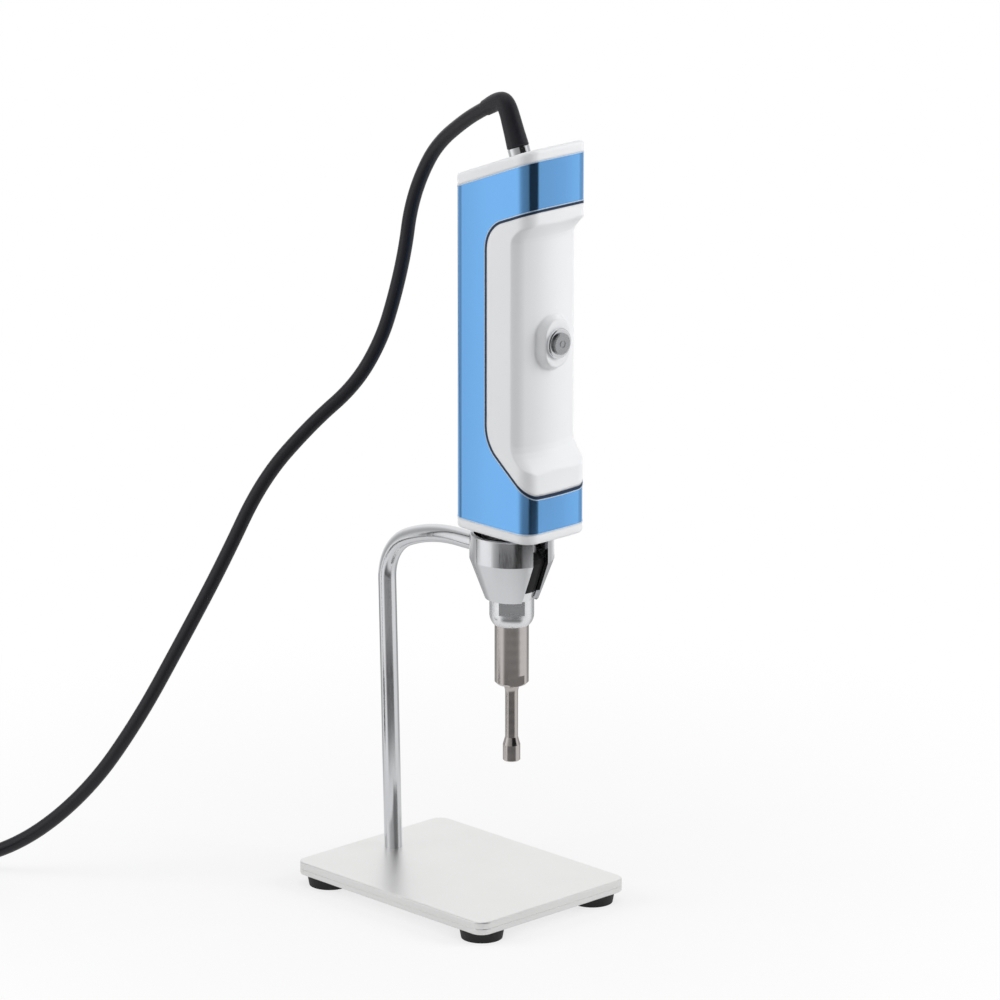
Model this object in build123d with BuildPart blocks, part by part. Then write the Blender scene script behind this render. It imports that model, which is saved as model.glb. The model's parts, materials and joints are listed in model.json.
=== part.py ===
from build123d import *
import math
import os

# Ultrasonic homogenizer: a handset with a slanted top stands nose down in the slotted cone cup of
# a bent-rod stand, with its titanium probe over the base plate, and its cable leaves the top.
# Millimetres, +Z up, floor at z = 0, front towards -Y, symmetric about x = 0 apart from the cable.
# The origin lies on the floor under the middle of the object's box, cable left out.

os.makedirs("parts", exist_ok=True)

# Base plate and feet
plate_l = 120.0
plate_w = 90.0
plate_t = 3.3
under_t = 2.7
plate_corner_r = 6.0
plate_edge_r = 0.8
parting_edge = 0.2
foot_d = 20.0
foot_h = 5.0
foot_taper = 10.0
foot_inset = 11.0
foot_screw_d = 4.0
foot_screw_bite = 2.0
foot_head_d = 7.4
foot_head_t = 2.2
foot_head_up = 1.0

# Bent rod and its foot nut
rod_d = 8.0
rod_inset = 16.5
rod_lean = 1.55
reach = 76.0
arm_rise = 153.65
bend_r = 23.0
bend_angle = 68.0
arm_r = 80.0
spigot_d = 6.0
rod_nut_af = 10.0
rod_nut_t = 2.4
bead_size = 2.2

# Holder cup
cup_d = 37.0
cup_wall = 2.0
cup_band_h = 11.6
cup_cone_h = 17.95
cup_foot_d = 23.6
cup_rim_r = 0.5
arm_above_cone = 2.2
slot_w = 9.0

# Handset nose, from the cup's lower edge
seat_gap = 0.3
collar_d = 19.6
collar_drop = 12.1
collar_rise = 4.0
collar_round_h = 4.6
collar_lip = 0.2
collar_flats = 16.0
collar_flat_up = 5.7
collar_spigot_h = 5.5
collar_spigot_d = 18.8
nose_band_h = 2.3
nose_bevel = 2.4
nose_seat_h = 8.2
camera_side = -44.0

# Sonotrode: horn, wrench flats, thin probe and its tip
horn_d = 15.0
horn_drop = 39.5
horn_top_up = 3.5
horn_edge = 0.5
horn_chamfer = 1.1
horn_flats = 13.0
horn_flat_h = 5.0
horn_flat_turn = -26.0
probe_l = 35.3
probe_d = 5.7
probe_flare_h = 4.0
probe_flare_d = 8.6
tip_d = 7.7
tip_l = 7.3
tip_shoulder = 3.5
tip_edge = 0.4

# Handset body
body_w = 38.0
body_d = 48.0
body_h = 155.8
body_ahead = 5.0
body_wall = 2.2
body_corner_r = 7.0
face_crown = 0.6
top_slant = 21.4
top_cap_t = 5.0
bottom_cap_t = 4.5
cap_edge_r = 1.4
cap_plug_h = 4.0
cap_gap = 2.45
boss_inset = 5.3
boss_d = 6.2
board_rib = 2.2
board_rib_t = 1.2

# Window in the body, which the grip cover fills
top_band = 21.3
bottom_band = 15.3
window_behind = 2.4
window_slope_h = 21.6
window_radii = [15.5, 18.0]
gasket_w = 1.3
gasket_t = 2.0

# Grip cover: flush ends and a waist for the fingers
cover_t = 3.2
waist_in = 4.0
waist_low = 38.2
waist_low_ramp = 15.5
waist_top_down = 27.4
waist_top_ramp = 11.5
ramp_steps = 6
flush_out = 1.0
waist_corner_r = 9.0
waist_crown = 22.0
flush_corner_r = 6.0
flush_crown = 2.0

# Push button on its raised pad
button_up = 83.0
pad_w = 19.0
pad_h = 26.0
pad_rise = 3.2
pad_taper = 25.0
button_hole_d = 10.6
bezel_d = 13.5
bezel_t = 1.5
barrel_d = 10.4
barrel_l = 12.0
button_well = 2.9
button_d = 9.5
button_t = 1.5
button_proud = 1.3
button_edge_r = 0.35
mark_d = 3.4
mark_w = 0.45
mark_depth = 0.2
running_gap = 0.05
stem_d = 5.0
stem_l = 9.0
switch_nut_af = 12.5
switch_nut_t = 2.0
switch_d = 9.0
switch_l = 12.0
spring_wire = 0.4
spring_d = 7.0
spring_turns = 3

# Transducer stack
fit_gap = 0.05
sleeve_d = 27.0
sleeve_bore = 24.0
sleeve_flange_d = 31.0
sleeve_flange_t = 2.5
housing_d = 30.4
housing_h = 15.0
housing_bore = 27.8
housing_floor = 7.0
mass_neck_up = 17.5
mass_cone = 5.5
mass_d = 22.0
node_ring_t = 1.1
node_flange_t = 3.0
node_flange_d = 27.2
retainer_h = 2.7
mass_top_h = 8.0
mass_top_d = 26.0
stud_d = 6.0
stud_half = 9.0
piezo_count = 4
piezo_d = 28.0
piezo_bore = 9.2
piezo_t = 4.5
electrode_t = 0.4
electrode_d = 27.0
tab_w = 4.0
tab_reach = 18.5
tab_side = 6.0
back_mass_h = 20.0
bolt_d = 8.0
bolt_bite = 13.0
bolt_head_d = 13.0
bolt_head_h = 8.0
lead_d = 1.6

# Driver board
board_t = 1.6
board_l = 50.0
board_up = 81.0
board_behind = 14.0
core_d = 22.0
core_bore = 9.0
core_t = 9.0
core_up = 16.0
part_w = 8.0
part_h = 12.0
part_t = 7.0
part_side = 7.0
part_up = 40.0

# Cap screws
screw_d = 2.4
screw_head_d = 4.4
screw_head_t = 1.6
screw_l = 11.0

# Cable gland, boot and cable
gland_d = 9.7
gland_h = 4.0
gland_thread_d = 7.2
gland_nut_af = 11.0
gland_nut_t = 2.5
boot_l = 13.5
boot_tip_d = 7.6
cord_d = 6.2

# Coil and connector beside it
coil_centre = (-192.0, 178.0)
coil_start = 41.3
coil_end = 180.0
coil_turns = 4
coil_mean_d = 68.0
coil_pitch = 7.0
quarters = 4
coil_lead_out = 12.4
connector_ring_d = 19.8
connector_ring_l = 13.0
connector_boot_l = 20.0
connector_boot_d = 9.0
connector_shell_d = 17.0
connector_shell_l = 26.0
connector_wall = 1.3
connector_ring_over = 6.0
knurl_count = 24
knurl_d = 1.2
pin_count = 5
pin_d = 1.6
pin_circle_d = 8.0
pin_l = 6.0
insert_t = 12.0

# Heights above the floor
plate_top = foot_h + under_t + plate_t
arm_z = plate_top + arm_rise
cone_top = arm_z - arm_above_cone
cone_bottom = cone_top - cup_cone_h
cup_top = cone_top + cup_band_h
cap_bottom = cup_top + cap_gap
body_bottom = cap_bottom + bottom_cap_t
body_top = body_bottom + body_h
waist_high = body_h - waist_top_down
horn_bottom = cone_bottom - horn_drop
tip_bottom = horn_bottom - probe_l
collar_bottom = cone_bottom - collar_drop
horn_top = cone_bottom - horn_top_up
button_z = body_bottom + button_up

# Places along Y, set so that the object's box is centred
front_proud = bezel_t + button_proud - (waist_in - pad_rise)
rear_y = (rod_inset + reach + body_ahead + body_d / 2 + front_proud) / 2
plate_y = rear_y - plate_l / 2
rod_y = rear_y - rod_inset
axis_y = rod_y - reach
body_y = axis_y - body_ahead
front_y = body_y - body_d / 2

# Shared planes and axes
slant = math.radians(top_slant)
slant_normal = Vector(0, math.sin(slant), math.cos(slant))
top_plane = Plane(origin=(0, body_y, body_top), x_dir=(1, 0, 0), z_dir=slant_normal)
probe_plane = Plane(origin=(0, axis_y, 0), x_dir=(1, 0, 0), z_dir=(0, -1, 0))
probe_axis = Axis((0, axis_y, 0), (0, 0, 1))
button_axis = Axis((0, 0, button_z), (0, -1, 0))
cup_r = cup_d / 2
collar_r = collar_d / 2
cup_bore_r = collar_r + seat_gap
seat_slope = (cup_r - cup_wall - cup_bore_r) / cup_cone_h


def save(part, name):
    """Label a finished piece and write it to its own file."""
    part.label = name
    export_step(part, f"parts/{name}.step")


def upright_outline(*points):
    """Closed outline of (radius, height) corners beside the probe's axis."""
    with BuildSketch(probe_plane) as outline:
        with BuildLine():
            Polyline(*points, close=True)
        make_face()
    return outline.sketch


def button_outline(*points):
    """Closed outline of (radius, depth) corners beside the button's axis, from the pad's front."""
    with BuildSketch(Plane(origin=(0, pad_front, button_z))) as outline:
        with BuildLine():
            Polyline(*points, close=True)
        make_face()
    return outline.sketch


def body_section(inset):
    """Outline of the handset's section set in by inset: a rounded rectangle with crowned faces."""
    half_w = body_w / 2 - inset
    half_d = body_d / 2 - inset
    near_w = half_w - face_crown
    near_d = half_d - face_crown
    with BuildSketch() as section:
        with BuildLine():
            ThreePointArc((near_w, -near_d), (half_w, 0), (near_w, near_d))
            ThreePointArc((near_w, near_d), (0, half_d), (-near_w, near_d))
            ThreePointArc((-near_w, near_d), (-half_w, 0), (-near_w, -near_d))
            ThreePointArc((-near_w, -near_d), (0, -half_d), (near_w, -near_d))
        make_face()
        fillet(section.vertices(), body_corner_r - inset)
    return section.sketch


def body_plane(z):
    """Level plane at height z, centred on the handset's section."""
    return Plane(origin=(0, body_y, z))


def seat_r(z):
    """Radius of the nose at height z, inside the cup's cone."""
    return collar_r + seat_slope * (z - cone_bottom)


def boss_places():
    """The four screw bosses in the corners of the handset's section."""
    return GridLocations(body_w - 2 * boss_inset, body_d - 2 * boss_inset, 2, 2)


# Base plate: a rounded steel plate over a thinner one, with a fine parting line between them
foot_places = Plane(origin=(0, plate_y, 0))
foot_grid_x = plate_w - 2 * foot_inset
foot_grid_y = plate_l - 2 * foot_inset
hole_r = foot_screw_d / 2 + fit_gap

with BuildPart() as base_plate:
    with BuildSketch(Plane(origin=(0, plate_y, plate_top - plate_t))):
        RectangleRounded(plate_w, plate_l, plate_corner_r)
    extrude(amount=plate_t)
    fillet(base_plate.faces().sort_by(Axis.Z)[-1].edges(), plate_edge_r)
    chamfer(base_plate.faces().sort_by(Axis.Z)[0].edges(), parting_edge)
    with BuildSketch(Plane(origin=(0, plate_y, plate_top - plate_t))):
        with GridLocations(foot_grid_x, foot_grid_y, 2, 2):
            Circle(hole_r)
    extrude(amount=foot_screw_bite, mode=Mode.SUBTRACT)
    with BuildSketch(Plane(origin=(0, rod_y, plate_top - plate_t))):
        Circle(spigot_d / 2 + fit_gap)
    extrude(amount=plate_t, mode=Mode.SUBTRACT)
save(base_plate.part, "base_plate")

with BuildPart() as base_underplate:
    with BuildSketch(Plane(origin=(0, plate_y, foot_h))):
        RectangleRounded(plate_w, plate_l, plate_corner_r)
    extrude(amount=under_t)
    chamfer(base_underplate.faces().sort_by(Axis.Z)[-1].edges(), parting_edge)
    fillet(base_underplate.faces().sort_by(Axis.Z)[0].edges(), plate_edge_r)
    with BuildSketch(Plane(origin=(0, plate_y, foot_h))):
        with GridLocations(foot_grid_x, foot_grid_y, 2, 2):
            Circle(hole_r)
        with Locations((0, rod_y - plate_y)):
            Circle(rod_nut_af / math.sqrt(3) + 0.6)
    extrude(amount=under_t, mode=Mode.SUBTRACT)
save(base_underplate.part, "base_underplate")

# Rubber feet, each with a recessed screw
foot_names = {
    "foot_front_left": (-1, -1),
    "foot_front_right": (1, -1),
    "foot_rear_left": (-1, 1),
    "foot_rear_right": (1, 1),
}
for foot_name, (side_x, side_y) in foot_names.items():
    foot_x = side_x * foot_grid_x / 2
    foot_y = plate_y + side_y * foot_grid_y / 2
    with BuildPart() as foot:
        with BuildSketch(Plane(origin=(foot_x, foot_y, foot_h), z_dir=(0, 0, -1))):
            Circle(foot_d / 2)
        extrude(amount=foot_h, taper=foot_taper)
        with BuildSketch(Plane(origin=(foot_x, foot_y, 0))):
            Circle(foot_head_d / 2 + fit_gap)
        extrude(amount=foot_head_up + foot_head_t, mode=Mode.SUBTRACT)
        with BuildSketch(Plane(origin=(foot_x, foot_y, 0))):
            Circle(hole_r)
        extrude(amount=foot_h, mode=Mode.SUBTRACT)
    save(foot.part, foot_name)

with BuildPart() as foot_screws:
    with BuildSketch(Plane(origin=(0, plate_y, foot_head_up))):
        with GridLocations(foot_grid_x, foot_grid_y, 2, 2):
            Circle(foot_head_d / 2)
    extrude(amount=foot_head_t)
    with BuildSketch(Plane(origin=(0, plate_y, foot_head_up + foot_head_t))):
        with GridLocations(foot_grid_x, foot_grid_y, 2, 2):
            Circle(foot_screw_d / 2)
    extrude(amount=foot_h - foot_head_up - foot_head_t + under_t + foot_screw_bite - fit_gap)
save(foot_screws.part, "foot_screws")

# Holder cup: a slotted band on a cone, open below, of tapering wall
cup_outline = [
    (cup_bore_r, cone_bottom),
    (cup_foot_d / 2, cone_bottom),
    (cup_r, cone_top),
    (cup_r, cup_top),
    (cup_r - cup_wall, cup_top),
    (cup_r - cup_wall, cone_top),
]
with BuildPart() as holder_cup:
    revolve(upright_outline(*cup_outline), axis=probe_axis)
    fillet(holder_cup.faces().sort_by(Axis.Z)[-1].edges(), cup_rim_r)
    with BuildSketch(Plane(origin=(0, axis_y, cone_bottom))):
        Rectangle(slot_w, cup_d, align=(Align.CENTER, Align.MAX))
    extrude(amount=cup_cone_h + cup_band_h, mode=Mode.SUBTRACT)
save(holder_cup.part, "holder_cup")

# Filled outer shape of the cup, which trims the rod and its weld
with BuildPart() as cup_filled:
    cup_shape = upright_outline(
        (0, cone_bottom), (cup_foot_d / 2, cone_bottom), (cup_r, cone_top), (cup_r, cup_top), (0, cup_top)
    )
    revolve(cup_shape, axis=probe_axis)

# Rod: it leans back a little, turns forward in a tight bend, and levels out in a wide one
heading = math.radians(90 - rod_lean)
heading_bend = math.radians(90 - rod_lean + bend_angle)
bend_rise = bend_r * (math.cos(heading) - math.cos(heading_bend)) + arm_r * (math.cos(heading_bend) + 1)
bend_z = arm_z - bend_rise
lean = math.tan(math.radians(rod_lean))

with BuildPart() as stand_rod:
    with BuildLine(Plane.YZ) as rod_path:
        rod_start = (rod_y - rod_d * lean, plate_top - rod_d)
        upright = Line(rod_start, (rod_y + (bend_z - plate_top) * lean, bend_z))
        bend = JernArc(start=upright @ 1, tangent=upright % 1, radius=bend_r, arc_size=bend_angle)
        level = JernArc(start=bend @ 1, tangent=bend % 1, radius=arm_r, arc_size=90 + rod_lean - bend_angle)
        Line(level @ 1, (axis_y + cup_r - cup_wall, arm_z))
    with BuildSketch(Plane(origin=upright @ 0, z_dir=upright % 0)):
        Circle(rod_d / 2)
    sweep(path=rod_path.wire())
    split(bisect_by=Plane.XY.offset(plate_top), keep=Keep.TOP)
    with BuildSketch(Plane(origin=(0, rod_y, plate_top - plate_t - rod_nut_t))):
        Circle(spigot_d / 2)
    extrude(amount=plate_t + rod_nut_t)
    add(cup_filled.part, mode=Mode.SUBTRACT)
save(stand_rod.part, "stand_rod")

with BuildPart() as rod_nut:
    with BuildSketch(Plane(origin=(0, rod_y, plate_top - plate_t - rod_nut_t))):
        RegularPolygon(rod_nut_af / math.sqrt(3), 6)
        Circle(spigot_d / 2 + fit_gap, mode=Mode.SUBTRACT)
    extrude(amount=rod_nut_t)
save(rod_nut.part, "rod_nut")

# Weld bead round the arm where it meets the cup
with BuildPart() as weld_bead:
    with BuildSketch(Plane.YZ):
        with BuildLine():
            wall_y = axis_y + cup_r
            inner = (wall_y - cup_r / 4, arm_z + rod_d / 2)
            toe = (wall_y + bead_size, arm_z + rod_d / 2)
            crest = (wall_y, arm_z + rod_d / 2 + bead_size)
            Line(inner, toe)
            RadiusArc(toe, crest, -1.6 * bead_size)
            Line(crest, (inner[0], crest[1]))
            Line((inner[0], crest[1]), inner)
        make_face()
    revolve(axis=Axis((0, 0, arm_z), (0, 1, 0)))
    add(cup_filled.part, mode=Mode.SUBTRACT)
save(weld_bead.part, "weld_bead")

# Window outline seen from the side: the handset's right and left walls and front are cut by it
window_top = body_top - top_band


def window_face(inset):
    """Side view of the window in the body, set in by inset, past the front of the handset."""
    ahead = front_y - body_corner_r
    behind = body_y + window_behind
    corner = (behind, window_top - math.tan(slant) * window_behind)
    low = body_bottom + bottom_band
    window_slope = window_slope_h / (behind - front_y)
    with BuildSketch(Plane.YZ.offset(-body_w)) as side:
        with BuildLine():
            edge = FilletPolyline(
                (ahead, window_top + math.tan(slant) * (body_y - ahead)),
                corner,
                (behind, low + window_slope_h),
                (ahead, low - window_slope * (front_y - ahead)),
                radius=window_radii,
            )
            Line(edge @ 1, edge @ 0)
        make_face()
        if inset:
            offset(amount=-inset)
    return side.sketch


# Body: a crowned aluminium tube with screw bosses and board guides, its top cut on the slant
with BuildPart() as body_extrusion:
    with BuildSketch(body_plane(body_bottom)):
        add(body_section(0))
        add(body_section(body_wall), mode=Mode.SUBTRACT)
        with boss_places():
            Circle(boss_d / 2)
        rib_x = body_w / 2 - body_wall - board_rib / 2 + fit_gap
        for rib_side in (-1, 1):
            for rib_face in (-1, 1):
                rib_y = board_behind + rib_face * (board_t / 2 + fit_gap + board_rib_t / 2)
                with Locations((rib_side * rib_x, rib_y)):
                    Rectangle(board_rib, board_rib_t)
        with boss_places():
            Circle(screw_d / 2 + fit_gap, mode=Mode.SUBTRACT)
    extrude(amount=body_h + body_d / 2)
    split(bisect_by=top_plane, keep=Keep.BOTTOM)
    add(window_face(0))
    extrude(amount=2 * body_w, dir=(1, 0, 0), mode=Mode.SUBTRACT)
save(body_extrusion.part, "body_extrusion")

# Solid prism of the handset's outline, which trims the cover to lie flush with the body
with BuildPart() as body_prism:
    with BuildSketch(body_plane(body_bottom)):
        add(body_section(0))
    extrude(amount=body_h + body_d / 2)

with BuildPart() as body_core:
    with BuildSketch(body_plane(body_bottom)):
        add(body_section(gasket_t))
    extrude(amount=body_h + body_d / 2)

# Gasket: a thin line of rubber in the gap between window and cover
with BuildPart() as grip_gasket:
    add(window_face(0))
    extrude(amount=2 * body_w, dir=(1, 0, 0))
    add(window_face(gasket_w))
    extrude(amount=2 * body_w, dir=(1, 0, 0), mode=Mode.SUBTRACT)
    add(body_prism.part, mode=Mode.INTERSECT)
    add(body_core.part, mode=Mode.SUBTRACT)
save(grip_gasket.part, "grip_gasket")


def grip_section(inset, half_w, wall):
    """Level section of the grip, its front set in by inset; the waist has softer corners and crown."""
    share = (inset + flush_out) / (waist_in + flush_out)
    corner = flush_corner_r + (waist_corner_r - flush_corner_r) * share - wall / 2
    crown = math.radians(flush_crown + (waist_crown - flush_crown) * share)
    front = -body_d / 2 + inset + wall
    end_x = half_w - corner + corner * math.sin(crown)
    crown_r = end_x / math.sin(crown)
    end_y = front + crown_r * (1 - math.cos(crown))
    corner_y = end_y + corner * math.cos(crown)
    rear = window_behind + body_wall
    with BuildSketch() as section:
        with BuildLine():
            Line((0, rear), (half_w, rear))
            side = Line((half_w, rear), (half_w, corner_y))
            rounding = TangentArc(side @ 1, (end_x, end_y), tangent=side % 1)
            TangentArc(rounding @ 1, (0, front), tangent=rounding % 1)
            mirror(about=Plane.YZ)
        make_face()
    return section.sketch


def ramp_levels(flush_up, waist_up):
    """Levels from the flush height to the waist's, the front going in along a soft S."""
    levels = []
    for step in range(ramp_steps + 1):
        share = step / ramp_steps
        level_in = (waist_in + flush_out) * share**2 * (3 - 2 * share) - flush_out
        levels.append((flush_up + (waist_up - flush_up) * share, level_in))
    return levels


# Each level of the grip is its height above the body's foot and how far its front is set in
grip_levels = [
    (bottom_band - flush_out, -flush_out),
    *ramp_levels(waist_low - waist_low_ramp, waist_low),
    *reversed(ramp_levels(waist_high + waist_top_ramp, waist_high)),
    (body_h - top_band / 2, -flush_out),
]
pad_front = front_y + waist_in - pad_rise
pad_inside = pad_rise + cover_t

with BuildPart() as grip_hollow:
    for level_up, level_in in grip_levels:
        with BuildSketch(body_plane(body_bottom + level_up)):
            add(grip_section(level_in, body_w / 2 - cover_t, cover_t))
    loft(ruled=True)

with BuildPart() as grip_cover:
    for level_up, level_in in grip_levels:
        with BuildSketch(body_plane(body_bottom + level_up)):
            add(grip_section(level_in, body_w / 2 + flush_out, 0))
    loft(ruled=True)
    pad_origin = (0, front_y + waist_in + cover_t / 2, button_z)
    with BuildSketch(Plane(origin=pad_origin, x_dir=(1, 0, 0), z_dir=(0, -1, 0))):
        SlotOverall(pad_h, pad_w, rotation=90)
    extrude(amount=pad_rise + cover_t / 2, taper=pad_taper)
    add(grip_hollow.part, mode=Mode.SUBTRACT)
    add(body_prism.part, mode=Mode.INTERSECT)
    add(window_face(gasket_w))
    extrude(amount=2 * body_w, dir=(1, 0, 0), mode=Mode.INTERSECT)
    with BuildSketch(Plane(origin=(0, body_y, button_z), z_dir=(0, -1, 0))):
        Circle(button_hole_d / 2)
    extrude(amount=body_d, mode=Mode.SUBTRACT)
    with BuildSketch(Plane(origin=(0, pad_front + pad_inside, button_z), z_dir=(0, 1, 0))):
        Circle(switch_nut_af / math.sqrt(3) + seat_gap)
    extrude(amount=cover_t, mode=Mode.SUBTRACT)
save(grip_cover.part, "grip_cover")

# Top cap on the slant and flat bottom cap, each with a plug that fits inside the tube
cap_top_plane = top_plane.offset(top_cap_t)
with BuildPart() as top_cap:
    with BuildSketch(body_plane(body_bottom)):
        add(body_section(0))
    extrude(amount=body_h + body_d)
    split(bisect_by=cap_top_plane, keep=Keep.BOTTOM)
    split(bisect_by=top_plane, keep=Keep.TOP)
    fillet(top_cap.faces().sort_by(Axis(top_plane.origin, slant_normal))[-1].edges(), cap_edge_r)
plug_end = top_plane.offset(-cap_plug_h)
with BuildPart() as top_plug:
    with BuildSketch(body_plane(body_bottom + body_h / 2)):
        add(body_section(body_wall + fit_gap))
        with boss_places():
            Circle(boss_d / 2 + fit_gap, mode=Mode.SUBTRACT)
        for rib_side in (-1, 1):
            with Locations((rib_side * body_w / 2, board_behind)):
                Rectangle(2 * (body_wall + board_rib + fit_gap), board_t + 2 * board_rib_t + 6 * fit_gap,
                          mode=Mode.SUBTRACT)
        add(body_section(2 * body_wall), mode=Mode.SUBTRACT)
    extrude(amount=body_h)
    split(bisect_by=top_plane, keep=Keep.BOTTOM)
    split(bisect_by=plug_end, keep=Keep.TOP)

gland_z = body_top + top_cap_t / math.cos(slant)
gland_plane = Plane(origin=(0, body_y, gland_z), x_dir=(1, 0, 0), z_dir=slant_normal)
with BuildPart() as top_cap_whole:
    add(top_cap.part)
    add(top_plug.part)
    with BuildSketch(gland_plane):
        Circle(gland_thread_d / 2 + fit_gap)
    extrude(amount=-(top_cap_t + cap_plug_h), mode=Mode.SUBTRACT)
    with BuildSketch(body_plane(body_bottom + body_h / 2)):
        with boss_places():
            Circle(screw_d / 2 + fit_gap)
    extrude(amount=body_h, mode=Mode.SUBTRACT)
    for boss_x in (-1, 1):
        for boss_y in (-1, 1):
            head_x = boss_x * (body_w / 2 - boss_inset)
            head_y = boss_y * (body_d / 2 - boss_inset)
            head_z = body_top - math.tan(slant) * head_y + top_cap_t / 2
            with BuildSketch(Plane(origin=(head_x, body_y + head_y, head_z))):
                Circle(screw_head_d / 2 + fit_gap)
            extrude(amount=body_d, mode=Mode.SUBTRACT)
save(top_cap_whole.part, "top_cap")

with BuildPart() as bottom_cap:
    with BuildSketch(body_plane(cap_bottom)):
        add(body_section(0))
    extrude(amount=bottom_cap_t)
    fillet(bottom_cap.faces().sort_by(Axis.Z)[0].edges(), cap_edge_r)
    with BuildSketch(body_plane(body_bottom)):
        add(body_section(body_wall + fit_gap))
        with boss_places():
            Circle(boss_d / 2 + fit_gap, mode=Mode.SUBTRACT)
        for rib_side in (-1, 1):
            with Locations((rib_side * body_w / 2, board_behind)):
                Rectangle(2 * (body_wall + board_rib + fit_gap), board_t + 2 * board_rib_t + 6 * fit_gap,
                          mode=Mode.SUBTRACT)
        with Locations((0, axis_y - body_y)):
            Circle(sleeve_flange_d / 2 + fit_gap, mode=Mode.SUBTRACT)
        add(body_section(2 * body_wall), mode=Mode.SUBTRACT)
    extrude(amount=cap_plug_h)
    with BuildSketch(Plane(origin=(0, axis_y, cap_bottom))):
        Circle(sleeve_d / 2 + fit_gap)
    extrude(amount=bottom_cap_t + cap_plug_h, mode=Mode.SUBTRACT)
    with BuildSketch(body_plane(cap_bottom)):
        with boss_places():
            Circle(screw_d / 2 + fit_gap)
    extrude(amount=bottom_cap_t, mode=Mode.SUBTRACT)
    with BuildSketch(body_plane(cap_bottom)):
        with boss_places():
            Circle(screw_head_d / 2 + fit_gap)
    extrude(amount=screw_head_t, mode=Mode.SUBTRACT)
save(bottom_cap.part, "bottom_cap")

# Cap screws, upright in the corner bosses
with BuildPart() as bottom_cap_screws:
    with BuildSketch(body_plane(cap_bottom)):
        with boss_places():
            Circle(screw_head_d / 2)
    extrude(amount=screw_head_t)
    with BuildSketch(body_plane(cap_bottom + screw_head_t)):
        with boss_places():
            Circle(screw_d / 2)
    extrude(amount=screw_l)
save(bottom_cap_screws.part, "bottom_cap_screws")

with BuildPart() as top_cap_screws:
    for boss_x in (-1, 1):
        for boss_y in (-1, 1):
            head_x = boss_x * (body_w / 2 - boss_inset)
            head_y = boss_y * (body_d / 2 - boss_inset)
            head_z = body_top - math.tan(slant) * head_y + top_cap_t / 2
            with BuildSketch(Plane(origin=(head_x, body_y + head_y, head_z))):
                Circle(screw_head_d / 2)
            extrude(amount=screw_head_t)
            with BuildSketch(Plane(origin=(head_x, body_y + head_y, head_z))):
                Circle(screw_d / 2)
            extrude(amount=-screw_l)
save(top_cap_screws.part, "top_cap_screws")

# Nose: sleeve through the bottom cap, black cone that seats in the cup, and the collar below it
nose_top = cone_top + nose_band_h + nose_bevel
sleeve_foot = nose_top - nose_seat_h
collar_top = cone_bottom + collar_rise
spigot_top = collar_top + collar_spigot_h
with BuildPart() as nose_sleeve:
    outline = upright_outline(
        (sleeve_bore / 2, sleeve_foot),
        (sleeve_d / 2, sleeve_foot),
        (sleeve_d / 2, body_bottom),
        (sleeve_flange_d / 2, body_bottom),
        (sleeve_flange_d / 2, body_bottom + sleeve_flange_t),
        (housing_d / 2, body_bottom + sleeve_flange_t),
        (housing_d / 2, body_bottom + housing_h),
        (housing_bore / 2, body_bottom + housing_h),
        (housing_bore / 2, body_bottom + housing_floor),
        (sleeve_bore / 2, body_bottom + housing_floor),
    )
    revolve(outline, axis=probe_axis)
save(nose_sleeve.part, "nose_sleeve")

with BuildPart() as nose_cone:
    outline = upright_outline(
        (collar_spigot_d / 2 + fit_gap, collar_top),
        (seat_r(collar_top), collar_top),
        (seat_r(cone_top), cone_top),
        (seat_r(cone_top), cone_top + nose_band_h),
        (sleeve_d / 2 + nose_bevel / 5, nose_top),
        (sleeve_d / 2 + fit_gap, nose_top),
        (sleeve_d / 2 + fit_gap, sleeve_foot),
        (mass_d / 2 + seat_gap, sleeve_foot),
        (collar_spigot_d / 2 + fit_gap, spigot_top),
    )
    revolve(outline, axis=probe_axis)
save(nose_cone.part, "nose_cone")

with BuildPart() as collar_nut:
    collar_bore_r = horn_d / 2 + seat_gap
    with BuildSketch(probe_plane):
        with BuildLine():
            side = Line((collar_r, cone_bottom), (collar_r, collar_bottom + collar_round_h))
            foot = TangentArc(side @ 1, (collar_bore_r + collar_lip, collar_bottom), tangent=side % 1)
            Polyline(
                foot @ 1,
                (collar_bore_r, collar_bottom),
                (collar_bore_r, spigot_top),
                (collar_spigot_d / 2, spigot_top),
                (collar_spigot_d / 2, collar_top),
                (seat_r(collar_top), collar_top),
                side @ 0,
            )
        make_face()
    revolve(axis=probe_axis)
    flat_plane = Plane(origin=(0, axis_y, collar_bottom + collar_flat_up)).rotated((0, 0, camera_side))
    with BuildSketch(flat_plane):
        Rectangle(collar_d + 1, collar_d + 1)
        Rectangle(collar_d + 2, collar_flats, mode=Mode.SUBTRACT)
    extrude(amount=collar_drop - collar_flat_up, mode=Mode.SUBTRACT)
save(collar_nut.part, "collar_nut")

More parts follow.
